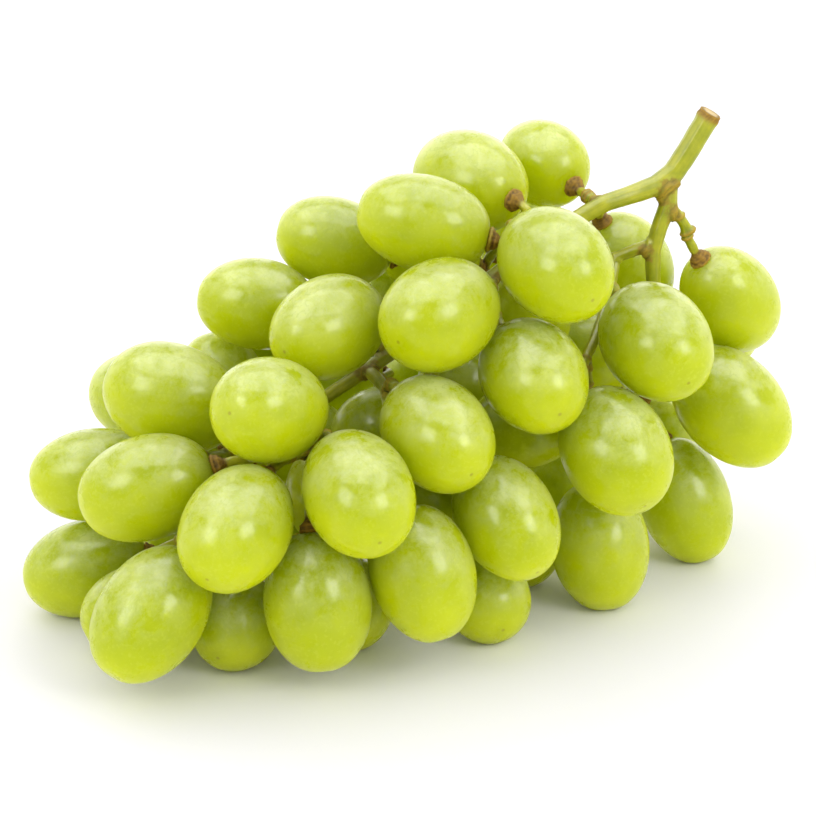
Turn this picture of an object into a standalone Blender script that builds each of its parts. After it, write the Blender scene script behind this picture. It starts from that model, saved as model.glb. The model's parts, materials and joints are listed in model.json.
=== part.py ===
"""A bunch of oval table grapes lying on its side, as cut from the vine."""
import math
import random

import bmesh
import bpy
import numpy as np
from mathutils import Vector

# ---- driving dimensions, in millimetres ----
MM = 0.001
GAP = 0.3                    # clearance between neighbouring solids
SINK = 0.55                  # how far a resting grape is flattened by the table
SETTLE_REACH = 1.6           # a grape hanging lower than this lies on the table
STALK_LENGTH = 9.0           # free length of a grape's own stalk
STALK_RADIUS = 0.8
STALK_POINTS = 6             # points along a stalk's route
COLLAR_NECK_RADIUS = 0.92    # the collar: where it leaves the stalk, at its rim and at the grape
COLLAR_RADIUS = 2.1
COLLAR_FACE_RADIUS = 1.9
COLLAR_LENGTH = 1.6
COLLAR_RIM = 0.5             # thickness of the collar's rim
RACHIS_RADII = [(0.0, 2.2), (0.16, 2.1), (0.24, 1.7), (1.0, 1.1)]    # share of the length, radius
ARM_TIP_RADIUS = 0.9
ARM_CLEARANCE = 1.5          # radius that the grapes keep clear round every branch
INNER_LENGTH = (21.0, 25.0)  # least and most for the grapes behind
INNER_GIRTH = (17.0, 19.0)
TABLE_BLOCK = (400.0, 400.0, 100.0)
SEGMENTS = 12                # sides of a grape's solid
RINGS = 6
ROUTE_STEP = 1.5             # spacing of the points along a branch's route
TUBE_STEP = 5.0              # spacing of the rings of a branch's solid
WELD = 0.01
MAIN_STEM_ROUNDNESS = 2      # bevel resolution of the main stem's tube and of the thinner ones
BRANCH_ROUNDNESS = 1
GRAPE_COLOUR = (0.56, 0.68, 0.06)
BARK_COLOUR = (0.36, 0.38, 0.08)
GRAPE_ROUGHNESS = 0.35
BARK_ROUGHNESS = 0.6

# ---- how the grapes settle against each other ----
SETTLING_STEPS = 160
CROWDING_STEPS = 96          # the first of those, in which the grapes behind creep inwards
CROWDING = 0.3               # how far they creep at each step
CROWDED_STALK = 0.6          # and down to which share of the stalk's length
FRONT_EASE = 0.2             # how readily a front grape gives way, beside 1 for the rest
SLACK = 0.05                 # extra room aimed for, so that every gap comes out at least GAP
GRAPE_PUSH = 0.6             # share of a missing gap that is made good at each step
STEM_PUSH = 0.5
GRAPE_REACH = 28.0           # centres further apart than this can't touch
STEM_REACH = 18.0
CLIMB_STEPS = 14
CLIMB_RATE = 0.03

# The main stem's route, from the cut end down through the middle of the bunch to its last branch.
RACHIS = [
    (60.2, 66, 93), (56.5, 64, 87), (51.6, 62, 80), (45, 60, 77.4), (39, 58, 76), (30, 56, 71),
    (16, 52, 62), (2, 48, 52), (-8, 44, 46), (-17, 40, 41), (-24, 33, 37), (-31, 25, 34),
]

# Side branches: radius where it leaves, then its route from the stem or from the branch before it.
ARMS = {
    "right": (1.85, [(51.6, 62, 80), (51.6, 61, 75), (49, 60, 67), (49, 59, 59), (51, 61, 46), (52, 61, 36)]),
    "right_side": (1.1, [(51.6, 61, 75), (53.6, 61, 72.6), (56.2, 62, 68.8)]),
    "right_left": (
        1.3, [(49, 60, 67), (45.5, 60.5, 65.7), (42, 61, 64.8), (41, 60, 61), (38, 50, 54), (35, 44, 49)]),
    "right_low": (1.2, [(51, 61, 46), (46, 62, 34), (43, 62, 26)]),
    "right_back": (1.2, [(49, 59, 59), (52, 70, 50), (52, 76, 38), (48, 78, 30)]),
    "top": (1.3, [(30, 56, 71), (24, 52, 75), (20, 49, 73)]),
    "front_middle": (1.35, [(16, 52, 62), (16, 45, 60), (15, 41, 58)]),
    "back_top": (1.35, [(20, 53, 65), (20, 66, 66), (18, 74, 62), (14, 78, 54)]),
    "back_low": (1.3, [(20, 66, 66), (25, 74, 58), (24, 76, 46), (20, 76, 34)]),
    "front_low": (1.3, [(-8, 44, 46), (-4, 34, 45), (-4, 26, 40), (-3, 20, 36)]),
    "back_middle": (1.35, [(2, 48, 52), (-2, 60, 52), (-6, 64, 44), (-6, 64, 34)]),
    "middle_low": (1.35, [(2, 48, 52), (5, 45, 44), (9, 44, 35), (12, 46, 26)]),
    "front_left": (1.3, [(-17, 40, 41), (-17, 30, 40), (-18, 22, 38)]),
    "low_left": (1.2, [(-24, 33, 37), (-27, 29, 28), (-28, 26, 20)]),
    "back_left": (1.2, [(-24, 33, 37), (-32, 40, 31), (-34, 48, 27)]),
    "back_upper_left": (1.2, [(-8, 44, 46), (-16, 48, 47), (-23, 54, 46)]),
    "tip": (1.2, [(-31, 25, 34), (-36, 21, 29), (-40, 22, 22)]),
}

# Grapes: centre (x to the right, y to the back, z up), then the way the free end points as a heading
# round from +X and a dip below level, in degrees, then length and girth.
SHOWN = [
    # crown of the bunch, round the stem
    ((27.6, 76, 79.5), (124, -15), 21.0, 17.2),
    ((12.7, 62, 78.8), (129, -5), 26.0, 20.0),
    ((3, 42, 76), (175, -13), 26.0, 18.5),
    ((27, 32, 71), (300, 16), 26.0, 20.0),
    ((47.3, 75, 53.6), (33, 60), 24.5, 20.0),
    ((64.8, 66, 51), (30, 50), 25.0, 19.0),
    # right end
    ((45, 38, 51.5), (295, 20), 27.0, 20.5),
    ((66, 58.5, 36), (340, 43), 28.0, 20.4),
    ((57.2, 59.5, 13), (317, 62), 27.0, 18.8),
    ((40, 28, 38), (298, 36), 26.5, 20.7),
    ((36.4, 37.5, 12), (290, 68), 26.0, 19.3),
    # front face, upper row
    ((6, 25, 62), (233, 9), 26.0, 20.5),
    ((23.5, 26, 51), (290, 15), 26.0, 19.7),
    ((-15, 31, 59), (232, 7), 26.0, 19.0),
    ((-15, 56, 67.5), (175, -13), 24.0, 17.5),
    ((-30.3, 50, 55), (177, -6), 23.5, 18.0),
    # front face, middle row
    ((5, 16, 44), (300, 18), 26.0, 19.5),
    ((17, 16, 26), (303, 36), 25.5, 18.8),
    ((-9, 1, 37), (289, 21), 26.5, 19.8),
    ((-25, 11, 49), (237, -14), 25.0, 19.3),
    ((2, 6, 20), (305, 60), 26.0, 19.5),
    ((-15.8, 2, 17.5), (285, 68), 26.0, 19.8),
    ((-31, -1, 30), (247, 25), 26.0, 19.6),
    # tip of the bunch
    ((-44.8, 30, 44.7), (173, -19), 27.0, 20.5),
    ((-48, 14, 34), (186, 17), 26.0, 19.6),
    ((-52, 52, 38), (120, 0), 22.0, 17.0),
    ((-60.8, 34, 27.3), (180, 8), 25.5, 17.7),
    ((-63, 32, 11), (185, 12), 25.0, 19.0),
    ((-45, -3, 16.6), (227, 41), 27.0, 19.6),
    # low down, on or just over the table
    ((-52, 14, 9), (200, 20), 20.0, 17.0),
    ((-32, 9, 9), (250, 20), 19.0, 17.0),
    ((-11.5, 17, 9), (280, 20), 19.0, 17.0),
    ((15, 21, 9), (290, 20), 19.0, 16.8),
    ((24, 46, 9), (280, 30), 19.0, 17.0),
]

# Grapes behind those, whose free ends point away from the nearest branch.
BEHIND = [
    (-37, 48, 39), (-25, 56, 27), (23, 42, 36), (33, 60, 17), (40, 64, 45), (21, 58, 57),
    (6, 32, 26), (-3, 50, 33), (-15, 25, 26), (14, 56, 42),
]

# Grapes of the back and the underside.
BACK = [
    (62, 84, 40), (55, 80, 16), (44, 92, 48), (22, 86, 61), (38, 92, 26), (9, 76, 58),
    (14, 88, 44), (17, 84, 14), (-8, 76, 50), (-29, 66, 48), (-14, 66, 32), (-42, 60, 22),
    (-46, 46, 12), (-24, 46, 12), (2, 84, 28),
]


def unit(vector):
    return vector / np.linalg.norm(vector)


def heading_vector(heading, dip):
    """Unit vector for a compass heading round from +X and a dip below level."""
    turn = math.radians(heading)
    drop = math.radians(dip)
    return np.array([math.cos(turn) * math.cos(drop), math.sin(turn) * math.cos(drop), -math.sin(drop)])


def smooth_route(points):
    """Catmull-Rom curve through the points, read at about every ROUTE_STEP."""
    knots = [np.array(point, float) for point in points]
    knots = [2 * knots[0] - knots[1]] + knots + [2 * knots[-1] - knots[-2]]
    route = []
    for before, start, end, after in zip(knots, knots[1:], knots[2:], knots[3:]):
        count = max(2, round(np.linalg.norm(end - start) / ROUTE_STEP))
        for index in range(count):
            t = index / count
            slope = end - before
            bend = 2 * before - 5 * start + 4 * end - after
            twist = 3 * start - before - 3 * end + after
            route.append(start + (slope * t + bend * t ** 2 + twist * t ** 3) / 2)
    route.append(knots[-2])
    return np.array(route)


def stem_skeleton():
    """Routes of the main stem and of the side branches, by name."""
    routes = {"rachis": smooth_route(RACHIS)}
    for name, (_, points) in ARMS.items():
        routes[name] = smooth_route(points)
    return routes


def nearest(points, place):
    return points[np.argmin(np.linalg.norm(points - place, axis=1))]


def stretch(axis, length, girth):
    """Matrix that turns a unit ball into a grape along axis."""
    return girth / 2 * np.eye(3) + (length - girth) / 2 * np.outer(axis, axis)


def list_grapes(branch_points):
    """Centre, axis, length and girth of every grape, before they settle."""
    grapes = [[np.array(centre, float), heading_vector(*way), length, girth]
              for centre, way, length, girth in SHOWN]
    chance = random.Random(7)
    for centre in BEHIND + BACK:
        place = np.array(centre, float)
        axis = unit(place - nearest(branch_points, place))
        grapes.append([place, axis, chance.uniform(*INNER_LENGTH), chance.uniform(*INNER_GIRTH)])
    return grapes


def row_lengths(rows):
    return np.linalg.norm(rows, axis=1, keepdims=True)


def apply_each(matrices, rows):
    return np.einsum("nij,nj->ni", matrices, rows)


def clearances(offsets, first, second):
    """Gap between pairs of ellipsoids and its direction, by climbing to the widest gap."""
    ways = offsets / row_lengths(offsets)
    for _ in range(CLIMB_STEPS):
        near = apply_each(first, ways)
        far = apply_each(second, ways)
        touching = apply_each(first, near / row_lengths(near)) + apply_each(second, far / row_lengths(far))
        slope = offsets - touching
        slope -= np.sum(slope * ways, axis=1, keepdims=True) * ways
        ways = ways + slope * CLIMB_RATE
        ways /= row_lengths(ways)
    reach = row_lengths(apply_each(first, ways)) + row_lengths(apply_each(second, ways))
    return np.sum(offsets * ways, axis=1) - reach[:, 0], ways


def stalk_route(place, axis, length, branch_points):
    """A grape's stalk, from the nearest branch to the grape's stem end, curving into its axis."""
    end = place - axis * (length / 2 + GAP)
    middle = end - axis * STALK_LENGTH / 2
    root = nearest(branch_points, end - axis * STALK_LENGTH)
    steps = np.linspace(0, 1, STALK_POINTS)[:, None]
    return (1 - steps) ** 2 * root + 2 * steps * (1 - steps) * middle + steps ** 2 * end


def stalk_routes(centres, grapes, branch_points):
    return [stalk_route(centre, axis, length, branch_points)
            for centre, (_, axis, length, _) in zip(centres, grapes)]


def crowd_inwards(centres, grapes, branch_points, moves):
    """Let each grape behind creep towards its branch until its stalk is about its real length."""
    for index in range(len(SHOWN), len(grapes)):
        inward = nearest(branch_points, centres[index]) - centres[index]
        if np.linalg.norm(inward) > grapes[index][2] / 2 + STALK_LENGTH * CROWDED_STALK:
            moves[index] += unit(inward) * CROWDING


def push_apart(centres, shapes, pairs, share, moves):
    """Move neighbouring grapes that stand closer than GAP away from each other."""
    one, two = pairs
    offsets = centres[two] - centres[one]
    close = np.linalg.norm(offsets, axis=1) < GRAPE_REACH
    gaps, ways = clearances(offsets[close], shapes[one[close]], shapes[two[close]])
    push = np.clip(GAP + SLACK - gaps, 0, None)[:, None] * ways * GRAPE_PUSH
    np.add.at(moves, one[close], -push * share[close])
    np.add.at(moves, two[close], push * (1 - share[close]))


def push_off_stem(centres, shapes, stalks, branch_points, moves):
    """Move each grape off the nearest branch or other grape's stalk that it stands too close to."""
    for index, centre in enumerate(centres):
        others = np.concatenate([stalk[1:] for owner, stalk in enumerate(stalks) if owner != index])
        wood = np.concatenate([branch_points, others])
        radii = np.repeat([ARM_CLEARANCE, STALK_RADIUS], [len(branch_points), len(others)])
        close = np.linalg.norm(wood - centre, axis=1) < STEM_REACH
        if not close.any():
            continue
        balls = radii[close][:, None, None] * np.eye(3)
        grape = np.repeat(shapes[index][None], len(balls), axis=0)
        gaps, ways = clearances(centre - wood[close], balls, grape)
        worst = np.argmin(gaps)
        moves[index] += max(0, GAP + SLACK - gaps[worst]) * ways[worst] * STEM_PUSH


def settle(grapes, branch_points):
    """Centres of the grapes once they are clear of each other, of the stem and of the table."""
    centres = np.array([grape[0] for grape in grapes])
    shapes = np.array([stretch(*grape[1:]) for grape in grapes])
    low = np.linalg.norm(shapes[:, :, 2], axis=1)
    pairs = np.triu_indices(len(grapes), 1)
    ease = np.where(np.arange(len(grapes)) < len(SHOWN), FRONT_EASE, 1.0)
    share = (ease[pairs[0]] / (ease[pairs[0]] + ease[pairs[1]]))[:, None]
    for step in range(SETTLING_STEPS):
        moves = np.zeros_like(centres)
        if step < CROWDING_STEPS:
            crowd_inwards(centres, grapes, branch_points, moves)
        push_apart(centres, shapes, pairs, share, moves)
        push_off_stem(centres, shapes, stalk_routes(centres, grapes, branch_points), branch_points, moves)
        centres += moves
        lying = centres[:, 2] - low < SETTLE_REACH
        centres[lying, 2] = low[lying] - SINK
    return centres


def new_material(name, colour, roughness):
    material = bpy.data.materials.new(name)
    material.use_nodes = True
    shader = material.node_tree.nodes["Principled BSDF"]
    shader.inputs["Base Color"].default_value = (*colour, 1.0)
    shader.inputs["Roughness"].default_value = roughness
    shader.inputs["Metallic"].default_value = 0.0
    material.diffuse_color = (*colour, 1.0)
    return material


def add_grape(name, place, axis, length, girth, collection, material):
    bpy.ops.mesh.primitive_uv_sphere_add(segments=SEGMENTS, ring_count=RINGS, radius=1.0)
    grape = bpy.context.object
    grape.name = name
    grape.data.name = name
    size = Vector((girth / 2, girth / 2, length / 2)) * MM
    for vertex in grape.data.vertices:
        vertex.co *= size
    grape.location = Vector(place) * MM
    grape.rotation_euler = Vector(axis).to_track_quat("Z", "Y").to_euler()
    grape.data.shade_smooth()
    grape.data.materials.append(material)
    move_to(grape, collection)
    return grape


def move_to(item, collection):
    for other in list(item.users_collection):
        other.objects.unlink(item)
    collection.objects.link(item)


def add_table_cutter(collection):
    """A block whose top is the table, for cutting the resting grapes flat."""
    size = Vector(TABLE_BLOCK) * MM
    bpy.ops.mesh.primitive_cube_add(size=1.0, location=(0, 0, -size.z / 2))
    cutter = bpy.context.object
    cutter.name = "table_cutter"
    cutter.scale = size
    show_as_guide(cutter)
    move_to(cutter, collection)
    return cutter


def show_as_guide(item):
    item.hide_render = True
    item.display_type = "WIRE"


def rest_on(grape, cutter):
    cut = grape.modifiers.new("table_flat", "BOOLEAN")
    cut.operation = "DIFFERENCE"
    cut.solver = "EXACT"
    cut.object = cutter


def tube(name, points, radii, sides_resolution, collection):
    """A closed tube of changing radius along the points, as a mesh."""
    curve = bpy.data.curves.new(name, "CURVE")
    curve.dimensions = "3D"
    curve.bevel_depth = MM
    curve.bevel_resolution = sides_resolution
    curve.use_fill_caps = True
    spline = curve.splines.new("POLY")
    spline.points.add(len(points) - 1)
    for knot, place, radius in zip(spline.points, points, radii):
        knot.co = (*(Vector(place) * MM), 1.0)
        knot.radius = radius
    route = bpy.data.objects.new(name + "_route", curve)
    bpy.context.scene.collection.objects.link(route)
    depsgraph = bpy.context.evaluated_depsgraph_get()
    mesh = bpy.data.meshes.new_from_object(route.evaluated_get(depsgraph))
    shell = bmesh.new()
    shell.from_mesh(mesh)
    bmesh.ops.remove_doubles(shell, verts=shell.verts, dist=WELD * MM)
    shell.to_mesh(mesh)
    shell.free()
    item = bpy.data.objects.new(name, mesh)
    item.matrix_world = route.matrix_world
    collection.objects.link(item)
    bpy.data.objects.remove(route)
    return item


def even_points(route):
    """Points of a route about TUBE_STEP apart, both ends kept."""
    count = max(3, round(len(route) * ROUTE_STEP / TUBE_STEP) + 1)
    picks = np.linspace(0, len(route) - 1, count).round().astype(int)
    return route[picks]


def add_stem(routes, stalks, collection, guides, material):
    """The whole stem as one solid: main stem, side branches and a stalk for each grape."""
    rachis = even_points(routes["rachis"])
    radii = np.interp(np.linspace(0, 1, len(rachis)), *zip(*RACHIS_RADII))
    stem = tube("stem", rachis, radii, MAIN_STEM_ROUNDNESS, collection)
    for name, (radius, _) in ARMS.items():
        points = even_points(routes[name])
        radii = np.linspace(radius, ARM_TIP_RADIUS, len(points))
        tube("branch_" + name, points, radii, BRANCH_ROUNDNESS, guides)
    for index, stalk in enumerate(stalks, 1):
        stalk_tube(f"stalk_{index:02d}", stalk, guides)
    for guide in guides.objects:
        show_as_guide(guide)
    # The exact solver leaves open edges where three of these tubes meet, so the manifold one joins them.
    union = stem.modifiers.new("grown_together", "BOOLEAN")
    union.operation = "UNION"
    union.solver = "MANIFOLD"
    union.operand_type = "COLLECTION"
    union.collection = guides
    keep_largest_body(stem)
    stem.data.shade_smooth()
    stem.data.materials.append(material)
    return stem


def keep_largest_body(item):
    """Apply an object's modifiers and drop the crumbs that a union leaves inside its joints."""
    depsgraph = bpy.context.evaluated_depsgraph_get()
    mesh = bpy.data.meshes.new_from_object(item.evaluated_get(depsgraph))
    shell = bmesh.new()
    shell.from_mesh(mesh)
    bodies = []
    waiting = set(shell.verts)
    while waiting:
        body = {waiting.pop()}
        edge = set(body)
        while edge:
            edge = {link.other_vert(vertex) for vertex in edge for link in vertex.link_edges} - body
            body |= edge
        waiting -= body
        bodies.append(body)
    largest = max(bodies, key=len)
    crumbs = [vertex for body in bodies if body is not largest for vertex in body]
    bmesh.ops.delete(shell, geom=crumbs, context="VERTS")
    shell.to_mesh(mesh)
    shell.free()
    item.modifiers.clear()
    item.data = mesh


def stalk_tube(name, stalk, collection):
    """A stalk with a flared collar where the grape sits."""
    root, _, middle, _, before, end = stalk
    way = unit(end - before)
    points = [root, middle, end - way * COLLAR_LENGTH, end - way * COLLAR_RIM, end]
    radii = [STALK_RADIUS, STALK_RADIUS, COLLAR_NECK_RADIUS, COLLAR_RADIUS, COLLAR_FACE_RADIUS]
    return tube(name, points, radii, BRANCH_ROUNDNESS, collection)


def stand_on_origin(collections):
    """Hang everything on an empty that puts the middle of the footprint at the origin."""
    bpy.context.view_layer.update()
    depsgraph = bpy.context.evaluated_depsgraph_get()
    corners = []
    for item in collections[0].objects:
        shown = item.evaluated_get(depsgraph)
        corners += [shown.matrix_world @ vertex.co for vertex in shown.data.vertices]
    corners = np.array(corners)
    middle = (corners.min(axis=0) + corners.max(axis=0)) / 2
    base = bpy.data.objects.new("footprint", None)
    base.location = (-middle[0], -middle[1], 0)
    collections[0].objects.link(base)
    for collection in collections:
        for item in collection.objects:
            if item is not base:
                item.parent = base


def build():
    for item in list(bpy.data.objects):
        bpy.data.objects.remove(item)
    bunch = bpy.data.collections.new("bunch_of_grapes")
    stem_shapes = bpy.data.collections.new("stem_shapes")
    table_shapes = bpy.data.collections.new("table_shapes")
    for collection in (bunch, stem_shapes, table_shapes):
        bpy.context.scene.collection.children.link(collection)
    grape_skin = new_material("grape_skin", GRAPE_COLOUR, GRAPE_ROUGHNESS)
    stem_bark = new_material("stem_bark", BARK_COLOUR, BARK_ROUGHNESS)

    routes = stem_skeleton()
    branch_points = np.concatenate(list(routes.values()))
    grapes = list_grapes(branch_points)
    centres = settle(grapes, branch_points)
    cutter = add_table_cutter(table_shapes)
    for index, (centre, grape) in enumerate(zip(centres, grapes), 1):
        item = add_grape(f"grape_{index:02d}", centre, *grape[1:], bunch, grape_skin)
        if centre[2] < np.linalg.norm(stretch(*grape[1:])[:, 2]):
            rest_on(item, cutter)
    stalks = stalk_routes(centres, grapes, branch_points)
    add_stem(routes, stalks, bunch, stem_shapes, stem_bark)
    stand_on_origin([bunch, stem_shapes, table_shapes])


build()
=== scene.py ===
import json
import math
import random

import bmesh
import bpy
import numpy as np
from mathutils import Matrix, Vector, noise
from mathutils.kdtree import KDTree

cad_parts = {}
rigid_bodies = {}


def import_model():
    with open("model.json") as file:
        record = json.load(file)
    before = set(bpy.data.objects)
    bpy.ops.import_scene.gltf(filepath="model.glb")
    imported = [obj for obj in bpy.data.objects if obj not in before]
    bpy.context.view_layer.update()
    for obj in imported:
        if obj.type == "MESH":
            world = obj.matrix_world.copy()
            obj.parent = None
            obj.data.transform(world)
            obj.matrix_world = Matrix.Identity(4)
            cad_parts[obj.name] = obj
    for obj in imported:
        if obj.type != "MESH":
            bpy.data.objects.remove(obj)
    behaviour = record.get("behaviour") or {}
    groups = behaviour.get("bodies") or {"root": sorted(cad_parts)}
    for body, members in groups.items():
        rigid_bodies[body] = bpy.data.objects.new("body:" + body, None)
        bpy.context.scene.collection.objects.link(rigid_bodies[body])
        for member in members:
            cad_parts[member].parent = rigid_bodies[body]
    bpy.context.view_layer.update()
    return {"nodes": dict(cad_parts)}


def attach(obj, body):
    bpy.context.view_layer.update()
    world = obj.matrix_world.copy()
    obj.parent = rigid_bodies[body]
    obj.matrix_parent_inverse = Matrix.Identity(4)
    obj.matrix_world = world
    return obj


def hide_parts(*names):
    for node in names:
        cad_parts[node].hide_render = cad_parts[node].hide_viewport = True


for leftover in list(bpy.data.objects):
    bpy.data.objects.remove(leftover)
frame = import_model()
mm = 0.001


def linearColour(hexCode):
    channels = [int(hexCode[i:i + 2], 16) / 255 for i in (1, 3, 5)]
    return tuple(c / 12.92 if c <= 0.04045 else ((c + 0.055) / 1.055) ** 2.4 for c in channels) + (1.0,)


def addNode(tree, kind, settings=None, inputs=None):
    node = tree.nodes.new(kind)
    for name, value in (settings or {}).items():
        setattr(node, name, value)
    for key, value in (inputs or {}).items():
        if isinstance(value, bpy.types.NodeSocket):
            tree.links.new(value, node.inputs[key])
        else:
            node.inputs[key].default_value = value
    return node


def newMaterial(name):
    material = bpy.data.materials.new(name)
    material.use_nodes = True
    return material, material.node_tree, material.node_tree.nodes["Principled BSDF"]


def addObject(name, data):
    item = bpy.data.objects.new(name, data)
    bpy.context.scene.collection.objects.link(item)
    return item


def takeMesh(holder):
    # the plain mesh that an object's modifiers make; the object itself goes
    depsgraph = bpy.context.evaluated_depsgraph_get()
    result = bpy.data.meshes.new_from_object(holder.evaluated_get(depsgraph))
    bpy.data.objects.remove(holder)
    return result


def newTree(name, inputs):
    tree = bpy.data.node_groups.new(name, "GeometryNodeTree")
    for kind, labels in inputs.items():
        for label in labels:
            tree.interface.new_socket(name=label, in_out="INPUT", socket_type="NodeSocket" + kind)
    tree.interface.new_socket(name="Geometry", in_out="OUTPUT", socket_type="NodeSocketGeometry")
    return tree


def applyTree(name, mesh, tree, values):
    # runs a tree on a mesh and gives the plain mesh that comes out
    holder = addObject(name + "Holder", mesh)
    modifier = holder.modifiers.new("grow", "NODES")
    modifier.node_group = tree
    for item in tree.interface.items_tree:
        if item.item_type == "SOCKET" and item.in_out == "INPUT" and item.name in values:
            modifier[item.identifier] = values[item.name]
    result = takeMesh(holder)
    result.name = name
    return result


def cornersOf(node):
    mesh = frame["nodes"][node].data
    places = np.zeros(len(mesh.vertices) * 3)
    mesh.vertices.foreach_get("co", places)
    return places.reshape(-1, 3)


# A fresh grape is a taut bag of clear flesh: light goes in, turns yellow-green and comes out again.
berryPlan = {
    "segments": 64,
    "rings": 64,
    "fullness": 0.95,        # below 1 fills the oval out towards its ends
    "taper": 0.035,          # how much one end may be wider than the other
    "dimpleDepth": 0.5,      # mm, where the stalk's collar sits
    "dimpleWidth": 2.6,      # mm
    "tipPress": 0.22,        # mm, the flat spot round the scar at the free end
    "tipWidth": 1.7,         # mm
    "unevenness": 0.55,      # mm, the slow swell of the skin
    "tableEdge": 0.15,       # mm, how softly the skin turns onto the table
    "byPlace": 0.5,          # how much of the ripeness comes from the place in the bunch, the rest is chance
    "alongShare": 0.4,       # how much of that comes from being near the stem, the rest from being high up
    "reach": 0.14,           # m, length of the bunch that ripens
    "height": 0.075,         # m, and its height
    "flesh": ("#9AA700", "#B8C300"),     # greener and yellower
    "patch": 8.0,            # mm, across the patches of either
    "ripening": 0.5,         # how far ripe flesh is yellower
    "paintedTopShade": -0.35,       # painted shade: how far flesh turned up is greener
    "veins": "#CDD24A",
    "veinDrift": 6.0,        # mm, between one bend and the next
    "veinCount": 3.4,        # more of them the higher it is
    # pale bloom wax, also laid on heavier on top as painted sheen
    "wax": "#DAE2AE",
    "waxCloud": 5.0,         # mm
    "waxAndTopSheen": (0.01, 0.46), # painted sheen: share of pale wax on the underside and on top
    "lines": "#8FA206",      # winding through the wax
    "lineApart": 2.2,        # mm
    "dots": "#C9D24E",
    "dotSize": 0.7,          # mm
    "pores": "#8A7A1E",
    "poreApart": 3.4,        # mm, between places where a pore may be
    "poreFrom": 0.84,        # the higher, the fewer of them are used
    "scar": "#6B4A14",
    "scarSize": 0.55,        # mm
    "roughness": (0.24, 0.44),           # bare and waxed skin
    "lightDepth": 28.0,      # mm that light travels in the flesh
}


def measureBerry(node, stemTree):
    # the corners lie on an oval: the quadric through them gives its middle, axis and sizes
    corners = cornersOf(node)
    corners = corners[corners[:, 2] > 0.1 * mm]
    middle = corners.mean(axis=0)
    x, y, z = ((corners - middle) / (10 * mm)).T
    terms = np.stack([x * x, y * y, z * z, 2 * x * y, 2 * x * z, 2 * y * z, 2 * x, 2 * y, 2 * z], axis=1)
    a, b, c, d, e, f, g, h, i = np.linalg.lstsq(terms, np.ones(len(x)), rcond=None)[0]
    matrix = np.array([[a, d, e], [d, b, f], [e, f, c]])
    shift = -np.linalg.solve(matrix, (g, h, i))
    values, ways = np.linalg.eigh(matrix / (1 + shift @ matrix @ shift))
    halves = 10 * mm / np.sqrt(values)
    centre = Vector(middle + shift * 10 * mm)
    axis = Vector(ways[:, 0]).normalized()
    if stemTree.find(centre + axis * halves[0])[2] < stemTree.find(centre - axis * halves[0])[2]:
        axis = -axis             # now points to the free end
    return {"centre": centre, "axis": axis, "length": 2 * halves[0], "girth": halves[1] + halves[2]}


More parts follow.
